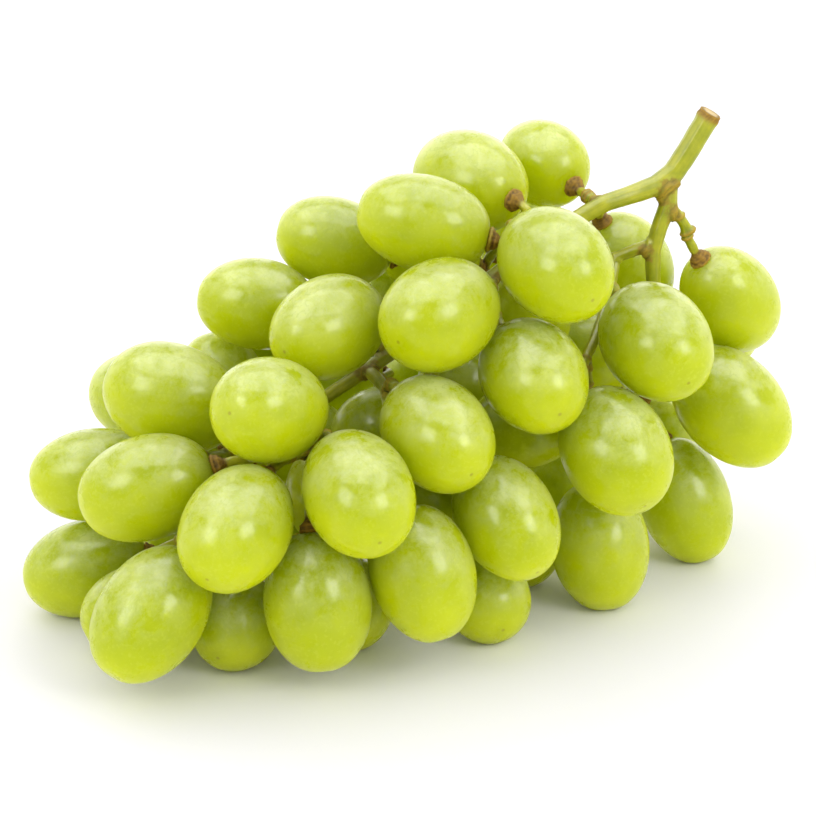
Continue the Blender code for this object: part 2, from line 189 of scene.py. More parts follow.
def makeBerryTree(skin):
    tree = newTree("grapeBerry", {
        "Float": ("Length", "Girth", "Fullness", "Taper", "Dimple Depth", "Dimple Width", "Tip Press",
                  "Tip Width", "Unevenness", "Table Edge", "Ripeness", "Seed"),
        "Vector": ("Place", "Turn"), "Int": ("Segments", "Rings")})
    given = addNode(tree, "NodeGroupInput").outputs
    ball = addNode(tree, "GeometryNodeMeshUVSphere", inputs={
        "Segments": given["Segments"], "Rings": given["Rings"], "Radius": 1.0})
    point = addNode(tree, "GeometryNodeInputPosition").outputs[0]
    parts = addNode(tree, "ShaderNodeSeparateXYZ", inputs={0: point}).outputs
    flat = addNode(tree, "ShaderNodeCombineXYZ", inputs={0: parts[0], 1: parts[1]})
    radial = addNode(tree, "ShaderNodeVectorMath", {"operation": "LENGTH"}, {0: flat.outputs[0]})
    radial = addNode(tree, "ShaderNodeMath", {"operation": "MAXIMUM"}, {0: radial.outputs["Value"], 1: 0.002})
    power = addNode(tree, "ShaderNodeMath", {"operation": "SUBTRACT"}, {0: given["Fullness"], 1: 1.0})
    fuller = addNode(tree, "ShaderNodeMath", {"operation": "POWER"}, {
        0: radial.outputs[0], 1: power.outputs[0]})
    taper = addNode(tree, "ShaderNodeMath", {"operation": "MULTIPLY_ADD"}, {
        0: given["Taper"], 1: parts[2], 2: 1.0})
    widen = addNode(tree, "ShaderNodeMath", {"operation": "MULTIPLY"}, {
        0: fuller.outputs[0], 1: taper.outputs[0]})
    halfGirth = addNode(tree, "ShaderNodeMath", {"operation": "MULTIPLY"}, {0: given["Girth"], 1: 0.5})
    halfLength = addNode(tree, "ShaderNodeMath", {"operation": "MULTIPLY"}, {0: given["Length"], 1: 0.5})
    across = addNode(tree, "ShaderNodeMath", {"operation": "MULTIPLY"}, {
        0: widen.outputs[0], 1: halfGirth.outputs[0]})
    spread = addNode(tree, "ShaderNodeMath", {"operation": "MULTIPLY"}, {
        0: radial.outputs[0], 1: halfGirth.outputs[0]})
    height = addNode(tree, "ShaderNodeMath", {"operation": "MULTIPLY"}, {
        0: parts[2], 1: halfLength.outputs[0]})
    ends = []
    for depth, width, side in (("Dimple Depth", "Dimple Width", -1.0), ("Tip Press", "Tip Width", 1.0)):
        share = addNode(tree, "ShaderNodeMath", {"operation": "DIVIDE"}, {
            0: spread.outputs[0], 1: given[width]})
        square = addNode(tree, "ShaderNodeMath", {"operation": "MULTIPLY"}, {
            0: share.outputs[0], 1: share.outputs[0]})
        falling = addNode(tree, "ShaderNodeMath", {"operation": "MULTIPLY"}, {0: square.outputs[0], 1: -1.0})
        bell = addNode(tree, "ShaderNodeMath", {"operation": "EXPONENT"}, {0: falling.outputs[0]})
        here = addNode(tree, "ShaderNodeMath", {"operation": "COMPARE"}, {0: parts[2], 1: side, 2: 0.9})
        deep = addNode(tree, "ShaderNodeMath", {"operation": "MULTIPLY"}, {
            0: bell.outputs[0], 1: given[depth]})
        only = addNode(tree, "ShaderNodeMath", {"operation": "MULTIPLY"}, {
            0: deep.outputs[0], 1: here.outputs[0]})
        ends.append(addNode(tree, "ShaderNodeMath", {"operation": "MULTIPLY"}, {
            0: only.outputs[0], 1: -side}))
    pressed = addNode(tree, "ShaderNodeMath", {"operation": "ADD"}, {
        0: height.outputs[0], 1: ends[0].outputs[0]})
    pressed = addNode(tree, "ShaderNodeMath", {"operation": "ADD"}, {
        0: pressed.outputs[0], 1: ends[1].outputs[0]})
    newX = addNode(tree, "ShaderNodeMath", {"operation": "MULTIPLY"}, {0: parts[0], 1: across.outputs[0]})
    newY = addNode(tree, "ShaderNodeMath", {"operation": "MULTIPLY"}, {0: parts[1], 1: across.outputs[0]})
    oval = addNode(tree, "ShaderNodeCombineXYZ", inputs={
        0: newX.outputs[0], 1: newY.outputs[0], 2: pressed.outputs[0]})
    swell = addNode(tree, "ShaderNodeTexNoise", {"noise_dimensions": "4D"}, {
        "Vector": point, "W": given["Seed"], "Scale": 0.8, "Detail": 1.0, "Roughness": 0.4})
    swing = addNode(tree, "ShaderNodeMath", {"operation": "SUBTRACT"}, {0: swell.outputs[0], 1: 0.5})
    lift = addNode(tree, "ShaderNodeMath", {"operation": "MULTIPLY"}, {
        0: swing.outputs[0], 1: given["Unevenness"]})
    outwards = addNode(tree, "ShaderNodeVectorMath", {"operation": "SCALE"}, {
        0: point, "Scale": lift.outputs[0]})
    shaped = addNode(tree, "ShaderNodeVectorMath", {"operation": "ADD"}, {
        0: oval.outputs[0], 1: outwards.outputs[0]})
    skinned = addNode(tree, "GeometryNodeSetPosition", inputs={
        "Geometry": ball.outputs["Mesh"], "Position": shaped.outputs[0]})
    # the skin's own coordinates go with it, so that its veins run from end to end
    own = addNode(tree, "GeometryNodeInputPosition").outputs[0]
    marked = skinned
    for name, kind, value in (("skinPlace", "FLOAT_VECTOR", own), ("ripeness", "FLOAT", given["Ripeness"]),
                              ("skinSeed", "FLOAT", given["Seed"])):
        marked = addNode(tree, "GeometryNodeStoreNamedAttribute", {"data_type": kind, "domain": "POINT"}, {
            "Geometry": marked.outputs[0], "Name": name, "Value": value})
    turned = addNode(tree, "FunctionNodeEulerToRotation", inputs={0: given["Turn"]})
    hung = addNode(tree, "GeometryNodeTransform", inputs={
        "Geometry": marked.outputs[0], "Translation": given["Place"], "Rotation": turned.outputs[0]})
    # nothing dips below the table: the low skin flattens on it
    low = addNode(tree, "ShaderNodeSeparateXYZ", inputs={
        0: addNode(tree, "GeometryNodeInputPosition").outputs[0]})
    squared = addNode(tree, "ShaderNodeMath", {"operation": "POWER"}, {0: given["Table Edge"], 1: 2.0})
    under = addNode(tree, "ShaderNodeMath", {"operation": "MULTIPLY_ADD"}, {
        0: low.outputs[2], 1: low.outputs[2], 2: squared.outputs[0]})
    root = addNode(tree, "ShaderNodeMath", {"operation": "SQRT"}, {0: under.outputs[0]})
    total = addNode(tree, "ShaderNodeMath", {"operation": "ADD"}, {0: root.outputs[0], 1: low.outputs[2]})
    half = addNode(tree, "ShaderNodeMath", {"operation": "MULTIPLY"}, {0: total.outputs[0], 1: 0.5})
    back = addNode(tree, "ShaderNodeCombineXYZ", inputs={
        0: low.outputs[0], 1: low.outputs[1], 2: half.outputs[0]})
    resting = addNode(tree, "GeometryNodeSetPosition", inputs={
        "Geometry": hung.outputs[0], "Position": back.outputs[0]})
    # how far the skin faces up: used for painted shade on the flesh and painted sheen of pale wax on top
    facing = addNode(tree, "ShaderNodeSeparateXYZ", inputs={
        0: addNode(tree, "GeometryNodeInputNormal").outputs[0]})
    upper = addNode(tree, "GeometryNodeStoreNamedAttribute", {"data_type": "FLOAT", "domain": "POINT"}, {
        "Geometry": resting.outputs[0], "Name": "skyward", "Value": facing.outputs[2]})
    smooth = addNode(tree, "GeometryNodeSetShadeSmooth", inputs={"Geometry": upper.outputs[0]})
    real = addNode(tree, "GeometryNodeRealizeInstances", inputs={"Geometry": smooth.outputs[0]})
    dressed = addNode(tree, "GeometryNodeSetMaterial", inputs={"Geometry": real.outputs[0], "Material": skin})
    addNode(tree, "NodeGroupOutput", inputs={0: dressed.outputs[0]})
    return tree


def growBerry(node, berry, tree, index):
    chance = random.Random(index)
    turn = berry["axis"].to_track_quat("Z", "Y").to_euler()
    # from the place in the bunch: yellower towards the stem end and the top, greener and darker low down
    alongBunch = 0.5 + berry["centre"].x / berryPlan["reach"]
    placeTone = berryPlan["alongShare"] * alongBunch
    placeTone += (1 - berryPlan["alongShare"]) * berry["centre"].z / berryPlan["height"]
    byPlace = berryPlan["byPlace"]
    values = {
        "Length": berry["length"], "Girth": berry["girth"], "Fullness": berryPlan["fullness"],
        "Taper": berryPlan["taper"] * chance.uniform(-1.0, 1.0),
        "Dimple Depth": berryPlan["dimpleDepth"] * mm, "Dimple Width": berryPlan["dimpleWidth"] * mm,
        "Tip Press": berryPlan["tipPress"] * mm, "Tip Width": berryPlan["tipWidth"] * mm,
        "Unevenness": berryPlan["unevenness"] * mm, "Table Edge": berryPlan["tableEdge"] * mm,
        "Ripeness": (1 - byPlace) * chance.uniform(0.0, 1.0) + byPlace * placeTone, "Seed": index * 3.7,
        "Place": tuple(berry["centre"]), "Turn": tuple(turn),
        "Segments": berryPlan["segments"], "Rings": berryPlan["rings"]}
    mesh = applyTree(node + "Skin", bpy.data.meshes.new("empty"), tree, values)
    piece = addObject(node + "Fruit", mesh)
    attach(piece, "root")
    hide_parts(node)


# Grape skin: a thin waxed film over clear yellow-green flesh. The flesh scatters light for millimetres,
# so edges and undersides glow, and the wax gives a soft gloss with pale, cloudy patches of bloom.
# On top the flesh is painted deeper as shade and the pale wax laid on heavier as painted sheen.
def makeGrapeSkin():
    material, tree, shader = newMaterial("tableGrapeSkin")
    place = addNode(tree, "ShaderNodeAttribute", {"attribute_name": "skinPlace"}).outputs["Vector"]
    seed = addNode(tree, "ShaderNodeAttribute", {"attribute_name": "skinSeed"}).outputs["Fac"]
    ripeness = addNode(tree, "ShaderNodeAttribute", {"attribute_name": "ripeness"}).outputs["Fac"]

    # flesh seen through the skin: yellower and greener in patches and berry by berry; painted shade makes
    # the side turned up deeper in colour, and painted glow makes the underside clearer
    skyward = addNode(tree, "ShaderNodeAttribute", {"attribute_name": "skyward"}).outputs["Fac"]
    patches = addNode(tree, "ShaderNodeTexNoise", {"noise_dimensions": "4D"}, {
        "Vector": place, "W": seed, "Scale": 1 / (berryPlan["patch"] * mm), "Detail": 2.0, "Roughness": 0.5})
    tone = addNode(tree, "ShaderNodeMath", {"operation": "MULTIPLY_ADD"}, {
        0: ripeness, 1: berryPlan["ripening"], 2: patches.outputs[0]})
    # painted shade and glow: flesh turned up is mixed deeper and greener, flesh turned down paler and clearer
    tone = addNode(tree, "ShaderNodeMath", {"operation": "MULTIPLY_ADD"}, {
        0: skyward, 1: berryPlan["paintedTopShade"], 2: tone.outputs[0]})
    tone = addNode(tree, "ShaderNodeMapRange", inputs={
        "Value": tone.outputs[0], "From Min": 0.35, "From Max": 1.15})
    flesh = addNode(tree, "ShaderNodeMix", {"data_type": "RGBA"}, {
        0: tone.outputs[0], 6: linearColour(berryPlan["flesh"][0]), 7: linearColour(berryPlan["flesh"][1])})

    # bundles of pale veins run from the stalk to the free end, 1 to 2 mm apart round the berry
    wobble = addNode(tree, "ShaderNodeTexNoise", {"noise_dimensions": "4D"}, {
        "Vector": place, "W": seed, "Scale": 1 / (berryPlan["veinDrift"] * mm), "Detail": 2.0})
    drift = addNode(tree, "ShaderNodeVectorMath", {"operation": "MULTIPLY"}, {
        0: wobble.outputs["Color"], 1: (0.004, 0.004, 0.004)})
    wavy = addNode(tree, "ShaderNodeVectorMath", {"operation": "ADD"}, {0: place, 1: drift.outputs[0]})
    parts = addNode(tree, "ShaderNodeSeparateXYZ", inputs={0: wavy.outputs[0]}).outputs
    around = addNode(tree, "ShaderNodeVectorMath", {"operation": "NORMALIZE"}, {
        0: addNode(tree, "ShaderNodeCombineXYZ", inputs={0: parts[0], 1: parts[1]}).outputs[0]})
    slow = addNode(tree, "ShaderNodeMath", {"operation": "MULTIPLY"}, {0: parts[2], 1: 40.0})
    slow = addNode(tree, "ShaderNodeCombineXYZ", inputs={2: slow.outputs[0]})
    lengthwise = addNode(tree, "ShaderNodeVectorMath", {"operation": "ADD"}, {
        0: around.outputs[0], 1: slow.outputs[0]})
    ridged = {"noise_dimensions": "4D", "noise_type": "RIDGED_MULTIFRACTAL"}
    veins = addNode(tree, "ShaderNodeTexNoise", ridged, {
        "Vector": lengthwise.outputs[0], "W": seed, "Scale": berryPlan["veinCount"], "Detail": 3.0,
        "Roughness": 0.55})
    veinShare = addNode(tree, "ShaderNodeMapRange", {"interpolation_type": "SMOOTHSTEP"}, {
        "Value": veins.outputs[0], "From Min": 0.45, "From Max": 1.2, "To Max": 0.4})

    # bloom: wax that lies in cloudy patches and is rubbed off elsewhere; laid heavier on top as painted sheen
    clouds = addNode(tree, "ShaderNodeTexNoise", {"noise_dimensions": "4D"}, {
        "Vector": wavy.outputs[0], "W": seed, "Scale": 1 / (berryPlan["waxCloud"] * mm), "Detail": 6.0,
        "Roughness": 0.7})
    bloom = addNode(tree, "ShaderNodeMapRange", {"interpolation_type": "SMOOTHSTEP"}, {
        "Value": clouds.outputs[0], "From Min": 0.38, "From Max": 0.64})
    # painted sheen: much more pale wax where the skin faces up, almost none below
    left = addNode(tree, "ShaderNodeMapRange", {"interpolation_type": "SMOOTHSTEP"}, {
        "Value": skyward, "From Min": 0.0, "From Max": 0.95,
        "To Min": berryPlan["waxAndTopSheen"][0], "To Max": berryPlan["waxAndTopSheen"][1]})
    waxAndSheenShare = addNode(tree, "ShaderNodeMath", {"operation": "MULTIPLY"}, {
        0: bloom.outputs[0], 1: left.outputs[0]})

    # greener lines wind through the wax
    longer = addNode(tree, "ShaderNodeVectorMath", {"operation": "MULTIPLY"}, {
        0: wavy.outputs[0], 1: (1.0, 1.0, 0.6)})
    winding = addNode(tree, "ShaderNodeTexNoise", {"noise_dimensions": "4D"}, {
        "Vector": longer.outputs[0], "W": seed, "Scale": 1 / (berryPlan["lineApart"] * mm), "Detail": 3.0,
        "Roughness": 0.55})
    apart = addNode(tree, "ShaderNodeMath", {"operation": "SUBTRACT"}, {0: winding.outputs[0], 1: 0.5})
    apart = addNode(tree, "ShaderNodeMath", {"operation": "ABSOLUTE"}, {0: apart.outputs[0]})
    line = addNode(tree, "ShaderNodeMapRange", {"interpolation_type": "SMOOTHSTEP"}, {
        "Value": apart.outputs[0], "From Min": 0.035, "From Max": 0.0})
    line = addNode(tree, "ShaderNodeMath", {"operation": "MULTIPLY"}, {
        0: line.outputs[0], 1: waxAndSheenShare.outputs[0]})

    # pale dots under a millimetre across, where the skin breathes
    peel = addNode(tree, "ShaderNodeTexNoise", {"noise_dimensions": "4D"}, {
        "Vector": place, "W": seed, "Scale": 1 / (berryPlan["dotSize"] * mm), "Detail": 2.0})
    dots = addNode(tree, "ShaderNodeMapRange", {"interpolation_type": "SMOOTHSTEP"}, {
        "Value": peel.outputs[0], "From Min": 0.5, "From Max": 0.68, "To Max": 0.2})

    # pores: a few brown specks, each about 0.3 mm
    cells = addNode(tree, "ShaderNodeTexVoronoi", {"voronoi_dimensions": "4D"}, {
        "Vector": place, "W": seed, "Scale": 1 / (berryPlan["poreApart"] * mm)})
    near = addNode(tree, "ShaderNodeMapRange", {"interpolation_type": "SMOOTHSTEP"}, {
        "Value": cells.outputs["Distance"], "From Min": 0.055, "From Max": 0.03})
    chosen = addNode(tree, "ShaderNodeMath", {"operation": "GREATER_THAN"}, {
        0: addNode(tree, "ShaderNodeSeparateColor", inputs={0: cells.outputs["Color"]}).outputs[0],
        1: berryPlan["poreFrom"]})
    speck = addNode(tree, "ShaderNodeMath", {"operation": "MULTIPLY"}, {
        0: near.outputs[0], 1: chosen.outputs[0]})
    speck = addNode(tree, "ShaderNodeMath", {"operation": "MULTIPLY"}, {0: speck.outputs[0], 1: 0.35})

    # the scar at the free end, 1 mm of brown cork
    own = addNode(tree, "ShaderNodeSeparateXYZ", inputs={0: place}).outputs
    flat = addNode(tree, "ShaderNodeCombineXYZ", inputs={0: own[0], 1: own[1]})
    offAxis = addNode(tree, "ShaderNodeVectorMath", {"operation": "LENGTH"}, {0: flat.outputs[0]})
    freeEnd = addNode(tree, "ShaderNodeMath", {"operation": "GREATER_THAN"}, {0: own[2], 1: 0.0})
    dot = addNode(tree, "ShaderNodeMapRange", {"interpolation_type": "SMOOTHSTEP"}, {
        "Value": offAxis.outputs["Value"], "From Min": berryPlan["scarSize"] * mm, "From Max": 0.15 * mm,
        "To Max": 0.45})
    scar = addNode(tree, "ShaderNodeMath", {"operation": "MULTIPLY"}, {
        0: dot.outputs[0], 1: freeEnd.outputs[0]})

    # one layer over the other, from the flesh outwards
    colour = flesh
    for share, layer in ((veinShare, "veins"), (waxAndSheenShare, "wax"), (line, "lines"), (dots, "dots"),
                         (speck, "pores"), (scar, "scar")):
        colour = addNode(tree, "ShaderNodeMix", {"data_type": "RGBA"}, {
            0: share.outputs[0], 6: colour.outputs[2], 7: linearColour(berryPlan[layer])})
    tree.links.new(colour.outputs[2], shader.inputs["Base Color"])

    gloss = addNode(tree, "ShaderNodeMapRange", inputs={
        "Value": bloom.outputs[0], "To Min": berryPlan["roughness"][0], "To Max": berryPlan["roughness"][1]})
    tree.links.new(gloss.outputs[0], shader.inputs["Roughness"])
    for name, value in (("IOR", 1.4), ("Specular IOR Level", 0.2), ("Coat Weight", 0.36),
                        ("Coat Roughness", 0.13), ("Coat IOR", 1.4), ("Subsurface Weight", 1.0),
                        ("Subsurface Radius", (1.0, 1.0, 0.25)),
                        ("Subsurface Scale", berryPlan["lightDepth"] * mm)):
        shader.inputs[name].default_value = value

    # the same dots stand up less than a tenth of a millimetre
    bump = addNode(tree, "ShaderNodeBump", inputs={
        "Height": peel.outputs[0], "Strength": 0.02, "Distance": 0.1 * mm})
    tree.links.new(bump.outputs[0], shader.inputs["Normal"])
    return material


# The stem is green wood that corks over wherever it was hurt, joined or strained.
stemPlan = {
    "voxel": 0.25,           # mm, how finely branches and collars are melted together
    "smoothing": 9,
    "most": 180000,          # triangles in the finished stem
    "collarRadius": 1.95,    # mm, the corky seat that holds each grape
    "collarNeck": 0.95,      # mm
    "collarLength": 0.85,    # mm
    "lipRadius": 0.4,        # mm, the rounded lip round the seat
    "upperRing": 0.56,       # the smaller ring behind the lip, as a share of it
    "ribs": 13,              # wrinkles round each seat
    "ribDepth": 0.07,        # mm
    "wartHeight": 0.14,      # mm
    "wartSize": 0.9,         # mm
    "corkEdge": (2.2, 3.0),  # mm from the seat, where its cork starts and has ended
    "traceStart": 2.6,       # mm behind the seat, where a stalk is first looked for
    "traceStep": 0.4,        # mm
    "traceSteps": 44,
    "traceReach": 1.9,       # mm round the middle of the stalk
    "traceSlice": 0.45,      # mm, half the thickness of a slice
    "traceFewest": 5,        # points that still make a slice
    "traceThicker": 1.3,     # where it has run into thicker wood
    "knobShare": 0.75,       # how many of the longer stalks carry an old bud ring
    "knobHeight": 0.5,       # mm
    "knobWidth": 0.44,       # mm
    "swelling": 0.6,         # mm, at each fork
    "ripple": 0.12,          # mm, the ridges along the bark
    "regrowth": 0.18,        # mm, gives back what the smoothing takes
    "thinRegrowth": 0.2,     # mm, and more on the thin stalks
    "lumpSize": 1.7,         # mm
    "gritSize": 0.6,         # mm
    "cutReach": 6.0,         # mm, how much of the stem belongs to its cut end
    "cutDepth": 0.8,         # mm, how much the cut takes off
    "cutFlare": 0.16,        # mm, the torn rim round the cut end
    "cutSlant": 0.32,        # how far the cut leans to the front
    "green": ("#7E8C07", "#BAB91E"),     # fresh bark
    "corkTones": ("#4E3803", "#A9811A"), # in its cracks and where it is rubbed
    "pith": ("#BE9A55", "#EBD9A4"),
    "blotch": 4.0,           # mm
    "corkPatch": 1.2,        # mm
    "creeping": 0.46,        # how far cork creeps out from a fork
    "ringApart": 0.5,        # mm, between growth rings round a seat
    "pithGrain": 0.6,        # mm
    "bumpSize": 0.35,        # mm
    "roughness": (0.36, 0.85),           # green bark and cork
}


def makeCollarTree():
    # a corky seat under every grape
    tree = newTree("corkyCollars", {
        "Geometry": ("Geometry",),
        "Float": ("Collar Radius", "Neck Radius", "Collar Length", "Lip Radius", "Upper Ring", "Ribs",
                  "Rib Depth", "Wart Height", "Wart Size")})
    given = addNode(tree, "NodeGroupInput").outputs
    way = addNode(tree, "GeometryNodeInputNamedAttribute", {"data_type": "FLOAT_VECTOR"}, {"Name": "way"})
    size = addNode(tree, "GeometryNodeInputNamedAttribute", {"data_type": "FLOAT"}, {"Name": "size"})
    turn = addNode(tree, "FunctionNodeAlignRotationToVector", {"axis": "Z"}, {"Vector": way.outputs[0]})

    # the seat: a funnel from the stalk, a thick lip against the grape and a smaller ring behind it
    backwards = addNode(tree, "ShaderNodeMath", {"operation": "MULTIPLY"}, {
        0: given["Collar Length"], 1: -1.0})
    behind = addNode(tree, "ShaderNodeCombineXYZ", inputs={2: backwards.outputs[0]})
    funnel = addNode(tree, "GeometryNodeMeshCone", inputs={
        "Vertices": 48, "Side Segments": 8, "Fill Segments": 5, "Radius Top": given["Collar Radius"],
        "Radius Bottom": given["Neck Radius"], "Depth": given["Collar Length"]})
    funnel = addNode(tree, "GeometryNodeTransform", inputs={
        "Geometry": funnel.outputs[0], "Translation": behind.outputs[0]})
    lipLine = addNode(tree, "GeometryNodeCurvePrimitiveCircle", inputs={
        "Resolution": 48, "Radius": given["Collar Radius"]})
    lipEdge = addNode(tree, "GeometryNodeCurvePrimitiveCircle", inputs={
        "Resolution": 12, "Radius": given["Lip Radius"]})
    lip = addNode(tree, "GeometryNodeCurveToMesh", inputs={
        "Curve": lipLine.outputs[0], "Profile Curve": lipEdge.outputs[0]})
    smaller = addNode(tree, "ShaderNodeCombineXYZ", inputs={
        0: given["Upper Ring"], 1: given["Upper Ring"], 2: 0.85})
    upper = addNode(tree, "GeometryNodeTransform", inputs={
        "Geometry": lip.outputs[0], "Translation": behind.outputs[0], "Scale": smaller.outputs[0]})
    seat = addNode(tree, "GeometryNodeJoinGeometry")
    for part in (funnel, lip, upper):
        tree.links.new(part.outputs[0], seat.inputs[0])
    point = addNode(tree, "ShaderNodeSeparateXYZ", inputs={
        0: addNode(tree, "GeometryNodeInputPosition").outputs[0]})
    angle = addNode(tree, "ShaderNodeMath", {"operation": "ARCTAN2"}, {
        0: point.outputs[1], 1: point.outputs[0]})
    waves = addNode(tree, "ShaderNodeMath", {"operation": "MULTIPLY"}, {
        0: angle.outputs[0], 1: given["Ribs"]})
    waves = addNode(tree, "ShaderNodeMath", {"operation": "COSINE"}, {0: waves.outputs[0]})
    deep = addNode(tree, "ShaderNodeMath", {"operation": "MULTIPLY"}, {
        0: waves.outputs[0], 1: given["Rib Depth"]})
    wrinkle = addNode(tree, "ShaderNodeVectorMath", {"operation": "SCALE"}, {
        0: addNode(tree, "GeometryNodeInputNormal").outputs[0], "Scale": deep.outputs[0]})
    seat = addNode(tree, "GeometryNodeSetPosition", inputs={
        "Geometry": seat.outputs[0], "Offset": wrinkle.outputs[0]})

    seats = addNode(tree, "GeometryNodeInstanceOnPoints", inputs={
        "Points": given["Geometry"], "Instance": seat.outputs[0], "Rotation": turn.outputs[0],
        "Scale": size.outputs[0]})
    real = addNode(tree, "GeometryNodeRealizeInstances", inputs={"Geometry": seats.outputs[0]})
    scale = addNode(tree, "ShaderNodeMath", {"operation": "DIVIDE"}, {0: 1.0, 1: given["Wart Size"]})
    warts = addNode(tree, "ShaderNodeTexNoise", inputs={
        "Vector": addNode(tree, "GeometryNodeInputPosition").outputs[0], "Scale": scale.outputs[0],
        "Detail": 1.0})
    swing = addNode(tree, "ShaderNodeMath", {"operation": "SUBTRACT"}, {0: warts.outputs[0], 1: 0.45})
    lift = addNode(tree, "ShaderNodeMath", {"operation": "MULTIPLY"}, {
        0: swing.outputs[0], 1: given["Wart Height"]})
    lift = addNode(tree, "ShaderNodeMath", {"operation": "MULTIPLY"}, {0: lift.outputs[0], 1: 2.0})
    move = addNode(tree, "ShaderNodeVectorMath", {"operation": "SCALE"}, {
        0: addNode(tree, "GeometryNodeInputNormal").outputs[0], "Scale": lift.outputs[0]})
    lumpy = addNode(tree, "GeometryNodeSetPosition", inputs={
        "Geometry": real.outputs[0], "Offset": move.outputs[0]})
    addNode(tree, "NodeGroupOutput", inputs={0: lumpy.outputs[0]})
    return tree


def seatSpots(berries):
    # where each grape sits: place, way towards the grape and size
    chance = random.Random(11)
    sunk = 0.1 * mm
    return [(berry["centre"] - berry["axis"] * (berry["length"] / 2 - sunk), berry["axis"],
             chance.uniform(0.9, 1.08)) for berry in berries.values()]


def traceStalks(seats, places):
    # follows each stalk back from its seat to the thicker wood it grows from
    sparse = places[::4]
    stalks = []
    for seat, way, _ in seats:
        along = -np.array(way)
        middle = np.array(seat) + along * stemPlan["traceStart"] * mm
        line = []
        for _ in range(stemPlan["traceSteps"]):
            near = sparse[np.linalg.norm(sparse - middle, axis=1) < stemPlan["traceReach"] * mm]
            ring = near[np.abs((near - middle) @ along) < stemPlan["traceSlice"] * mm]
            if len(ring) < stemPlan["traceFewest"]:
                break
            centre = ring.mean(axis=0)
            girth = np.linalg.norm(ring - centre, axis=1).mean()
            if line and girth > stemPlan["traceThicker"] * line[0][2]:
                break
            line.append((centre, along, girth))
            if len(line) > 3:
                run = centre - line[-4][0]
                along = along + run / np.linalg.norm(run)
                along = along / np.linalg.norm(along)
            middle = centre + along * stemPlan["traceStep"] * mm
        stalks.append(line)
    return stalks


def stalkRings(stalks):
    # a ring where each stalk starts, and old bud rings part of the way along the longer ones
    chance = random.Random(5)
    rings = []
    for line in stalks:
        if len(line) > 3:
            rings.append((*line[-2][:2], chance.uniform(0.5, 0.8), 0.0))
        if len(line) > 12 and chance.random() < stemPlan["knobShare"]:
            partWay = int(len(line) * chance.uniform(0.4, 0.55))
            rings.append((*line[partWay][:2], chance.uniform(0.85, 1.15), 0.5))
    return rings


def treeOf(places):
    tree = KDTree(len(places))
    for index, place in enumerate(places):
        tree.insert(place, index)
    tree.balance()
    return tree


def growCollars(seats):
    points = bpy.data.meshes.new("collarPoints")
    points.from_pydata([tuple(place) for place, _, _ in seats], [], [])
    points.attributes.new("way", "FLOAT_VECTOR", "POINT").data.foreach_set(
        "vector", [c for _, way, _ in seats for c in way])
    points.attributes.new("size", "FLOAT", "POINT").data.foreach_set("value", [size for _, _, size in seats])
    return applyTree("collars", points, makeCollarTree(), {
        "Collar Radius": stemPlan["collarRadius"] * mm, "Neck Radius": stemPlan["collarNeck"] * mm,
        "Collar Length": stemPlan["collarLength"] * mm, "Lip Radius": stemPlan["lipRadius"] * mm,
        "Upper Ring": stemPlan["upperRing"], "Ribs": float(stemPlan["ribs"]),
        "Rib Depth": stemPlan["ribDepth"] * mm,
        "Wart Height": stemPlan["wartHeight"] * mm, "Wart Size": stemPlan["wartSize"] * mm})


def meltTogether(meshes):
    # one closed skin round the branches and collars
    shell = bmesh.new()
    for mesh in meshes:
        shell.from_mesh(mesh)
    bmesh.ops.remove_doubles(shell, verts=shell.verts, dist=0.01 * mm)
    joined = bpy.data.meshes.new("stemJoined")
    shell.to_mesh(joined)
    shell.free()
    holder = addObject("stemHolder", joined)
    melt = holder.modifiers.new("melt", "REMESH")
    melt.mode = "VOXEL"
    melt.voxel_size = stemPlan["voxel"] * mm
    return takeMesh(holder)


def spreadOver(values, edges, rounds, share=0.5):
    # lets a value seep along the mesh's edges
    ends = np.concatenate([edges[:, 0], edges[:, 1]])
    others = np.concatenate([edges[:, 1], edges[:, 0]])
    count = np.maximum(np.bincount(ends, minlength=len(values)), 1)
    flat = values.reshape(len(values), -1).copy()
    share = np.broadcast_to(np.asarray(share, float).reshape(-1, 1), (len(values), 1))
    for _ in range(rounds):
        for column in range(flat.shape[1]):
            mean = np.bincount(ends, weights=flat[others, column], minlength=len(values)) / count
            flat[:, column] += (mean - flat[:, column]) * share[:, 0]
    return flat.reshape(values.shape)


def findCut(corners):
    # the stem's highest end is where it was cut from the vine
    top = corners[np.argmax(corners[:, 2])]
    gaps = np.linalg.norm(corners - top, axis=1)
    end = corners[gaps < 4.5 * mm]
    inner = corners[(gaps > 6 * mm) & (gaps < 12 * mm)].mean(axis=0)
    way = (end.mean(axis=0) - inner) / np.linalg.norm(end.mean(axis=0) - inner)
    last = corners @ way > (corners @ way).max() - 0.3 * mm
    return way, corners[last].mean(axis=0)


def easeStep(value, low, high):
    t = np.clip((value - low) / (high - low), 0, 1)
    return t * t * (3 - 2 * t)


def thinOut(mesh):
    # the smooth stretches need fewer triangles than the collars do
    mesh.calc_loop_triangles()
    holder = addObject("thinHolder", mesh)
    thin = holder.modifiers.new("thin", "DECIMATE")
    thin.ratio = min(1.0, stemPlan["most"] / len(mesh.loop_triangles))
    result = takeMesh(holder)
    result.calc_loop_triangles()
    print("stem:", len(mesh.loop_triangles), "triangles thinned to", len(result.loop_triangles))
    return result


